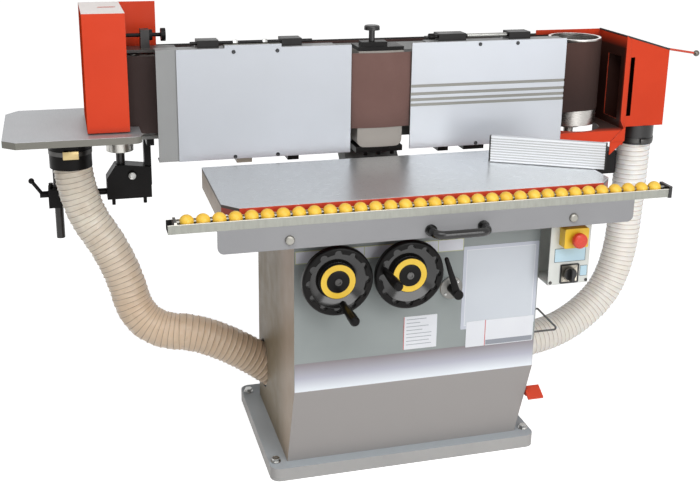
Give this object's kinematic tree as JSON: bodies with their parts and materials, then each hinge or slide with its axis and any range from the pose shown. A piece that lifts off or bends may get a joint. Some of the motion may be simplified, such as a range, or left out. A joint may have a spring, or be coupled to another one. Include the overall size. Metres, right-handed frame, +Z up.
{
  "type": "belt sander",
  "caption": "Stationary edge belt sander on a cabinet: upright belt over drums and a rounded shoe, fences, rise-and-fall table with roller support, guards and ribbed dust hoses.",
  "frame": {"origin": "middle of the plinth's underside, on the floor", "axes": "+X along the belt to the operator's right, +Y away from the operator, +Z up"},
  "size_m": [2.0425, 0.8383, 1.153],
  "materials": {
    "cabinet_paint": "satin",
    "machine_red": "satin",
    "ground_iron": "satin",
    "pale_alloy": "satin",
    "grey_metal": "satin",
    "bright_steel": "satin",
    "zinc": "satin",
    "black_metal": "satin",
    "black_plastic": "matt",
    "yellow_plastic": "gloss",
    "red_plastic": "gloss",
    "box_plastic": "satin",
    "abrasive": "rough",
    "hose": "satin"
  },
  "bodies": {
    "base": {"plinth": "cabinet_paint", "cabinet": "cabinet_paint", "rear_panel": "cabinet_paint", "anchor_bolts": "bright_steel", "dust_plenum": "grey_metal", "shaft_bearings": "grey_metal", "cross_ways": "bright_steel", "control_box": "box_plastic", "estop_housing": "yellow_plastic", "wire_hook": "bright_steel", "head_support": "cabinet_paint", "head_beam": "grey_metal", "idler_yoke": "grey_metal", "motor": "black_metal", "front_plates": "grey_metal", "fence_arms": "black_metal", "rear_cover": "machine_red", "sanding_belt": "abrasive", "sanding_shoe": "grey_metal", "shoe_plates": "black_metal", "left_guard": "machine_red", "right_guard": "machine_red", "dust_hood": "machine_red", "aux_bracket": "black_metal", "hose_cuff_right": "black_plastic", "hose_left": "hose", "hose_right": "hose"},
    "saddle": {"saddle": "grey_metal"},
    "lift_gear": {"lift_gear": "bright_steel"},
    "table": {"table_top": "ground_iron", "lift_columns": "bright_steel", "rod_guides": "grey_metal", "mitre_base": "bright_steel"},
    "mitre": {"mitre_fence": "pale_alloy", "mitre_caps": "black_plastic"},
    "roller_support": {"apron": "cabinet_paint", "roller_rail": "zinc", "rail_cap": "black_plastic", "support_rods": "bright_steel", "pull_handle": "black_plastic"},
    "rollers": {"rollers": "yellow_plastic"},
    "wheel_left": {"handwheel_left": "black_metal"},
    "grip_left": {"crank_grip_left": "black_plastic"},
    "wheel_right": {"handwheel_right": "black_metal"},
    "grip_right": {"crank_grip_right": "black_plastic"},
    "lock_lever": {"lock_lever": "black_metal"},
    "estop_button": {"estop_button": "red_plastic"},
    "switch_knob": {"switch_knob": "black_plastic"},
    "foot_pedal": {"foot_pedal": "machine_red"},
    "drive_drum": {"drive_drum": "bright_steel"},
    "idler_drum": {"idler_drum": "bright_steel"},
    "fence_left": {"fence_left": "pale_alloy"},
    "fence_right": {"fence_right": "pale_alloy"},
    "shoe_knob": {"shoe_knob": "black_plastic"},
    "tracking_screw": {"tracking_screw": "black_metal"},
    "tension_lever": {"tension_lever": "bright_steel"},
    "aux_table": {"aux_table": "ground_iron", "aux_chute": "black_metal", "aux_posts": "bright_steel"},
    "aux_clamp_lever": {"aux_clamp_lever": "black_metal"}
  },
  "joints": [
    {"name": "wheel_left_turn", "type": "hinge", "parent": "base", "child": "wheel_left", "pos_m": [-0.227, -0.345, 0.58], "axis": [0, 1, 0], "range_deg": [0, 7200]},
    {"name": "wheel_right_turn", "type": "hinge", "parent": "base", "child": "wheel_right", "pos_m": [-0.052, -0.345, 0.58], "axis": [0, 1, 0], "range_deg": [-1440, 2304]},
    {"name": "table_cross", "type": "slide", "parent": "base", "child": "saddle", "axis": [0, 1, 0], "range_m": [-0.02, 0.032]},
    {"name": "table_lift", "type": "slide", "parent": "saddle", "child": "table", "axis": [0, 0, 1], "range_m": [0, 0.1]},
    {"name": "lift_gear_turn", "type": "hinge", "parent": "saddle", "child": "lift_gear", "pos_m": [-0.182, -0.15, 0.58], "axis": [0, 0, 1], "range_deg": [-6000, 0]},
    {"name": "grip_left_spin", "type": "hinge", "parent": "wheel_left", "child": "grip_left", "pos_m": [-0.21284, -0.39, 0.51964], "axis": [0, 1, 0], "continuous": true},
    {"name": "grip_right_spin", "type": "hinge", "parent": "wheel_right", "child": "grip_right", "pos_m": [-0.11229, -0.39, 0.59447], "axis": [0, 1, 0], "continuous": true},
    {"name": "roller_pull", "type": "slide", "parent": "table", "child": "roller_support", "axis": [0, -1, 0], "range_m": [0, 0.18]},
    {"name": "rollers_spin", "type": "hinge", "parent": "roller_support", "child": "rollers", "pos_m": [0, -0.361, 0.755], "axis": [1, 0, 0], "continuous": true},
    {"name": "mitre_swing", "type": "hinge", "parent": "table", "child": "mitre", "pos_m": [0.404, -0.113, 0.78], "axis": [0, 0, 1], "range_deg": [-30, 30]},
    {"name": "lock_turn", "type": "hinge", "parent": "base", "child": "lock_lever", "pos_m": [0.081, -0.3, 0.5085], "axis": [0, 1, 0], "range_deg": [0, 75]},
    {"name": "estop_press", "type": "slide", "parent": "base", "child": "estop_button", "axis": [0, 1, 0], "range_m": [0, 0.006], "stiffness_N_per_m": 800, "springref_m": -0.005},
    {"name": "switch_turn", "type": "hinge", "parent": "base", "child": "switch_knob", "pos_m": [0.371, -0.345, 0.54], "axis": [0, 1, 0], "range_deg": [0, 90]},
    {"name": "pedal_press", "type": "hinge", "parent": "base", "child": "foot_pedal", "pos_m": [0.3195, -0.12, 0.175], "axis": [1, 0, 0], "range_deg": [0, 12], "stiffness_Nm_per_rad": 2.5, "springref_deg": -17.19},
    {"name": "drive_spin", "type": "hinge", "parent": "base", "child": "drive_drum", "pos_m": [0.629, 0.213, 0.9], "axis": [0, 0, 1], "continuous": true},
    {"name": "idler_spin", "type": "hinge", "parent": "base", "child": "idler_drum", "pos_m": [-0.629, 0.213, 0.93], "axis": [0, 0, 1], "continuous": true},
    {"name": "fence_left_out", "type": "slide", "parent": "base", "child": "fence_left", "axis": [0, -1, 0], "range_m": [0, 0.006]},
    {"name": "fence_right_out", "type": "slide", "parent": "base", "child": "fence_right", "axis": [0, -1, 0], "range_m": [0, 0.006]},
    {"name": "shoe_knob_turn", "type": "hinge", "parent": "base", "child": "shoe_knob", "pos_m": [-0.022, 0.092, 1.08], "axis": [0, 0, 1], "range_deg": [-180, 180]},
    {"name": "tracking_turn", "type": "hinge", "parent": "base", "child": "tracking_screw", "pos_m": [-0.6, 0.213, 1.077], "axis": [1, 0, 0], "range_deg": [-180, 180]},
    {"name": "tension_swing", "type": "hinge", "parent": "base", "child": "tension_lever", "pos_m": [0.908, 0.264, 0.99], "axis": [0, 0, 1], "range_deg": [0, 60]},
    {"name": "aux_height", "type": "slide", "parent": "base", "child": "aux_table", "axis": [0, 0, 1], "range_m": [-0.035, 0], "deforming": ["hose_left"]},
    {"name": "aux_clamp_turn", "type": "hinge", "parent": "base", "child": "aux_clamp_lever", "pos_m": [-0.876, 0.325, 0.632], "axis": [1, 0, 0], "range_deg": [0, 90]}
  ],
  "couplings": [
    {"joint": "table_lift", "follows": "wheel_left_turn", "m_per_rad": 0.0007957},
    {"joint": "lift_gear_turn", "follows": "wheel_left_turn", "ratio": -0.8333},
    {"joint": "table_cross", "follows": "wheel_right_turn", "m_per_rad": 0.0007957},
    {"joint": "idler_spin", "follows": "drive_spin", "ratio": 1}
  ]
}
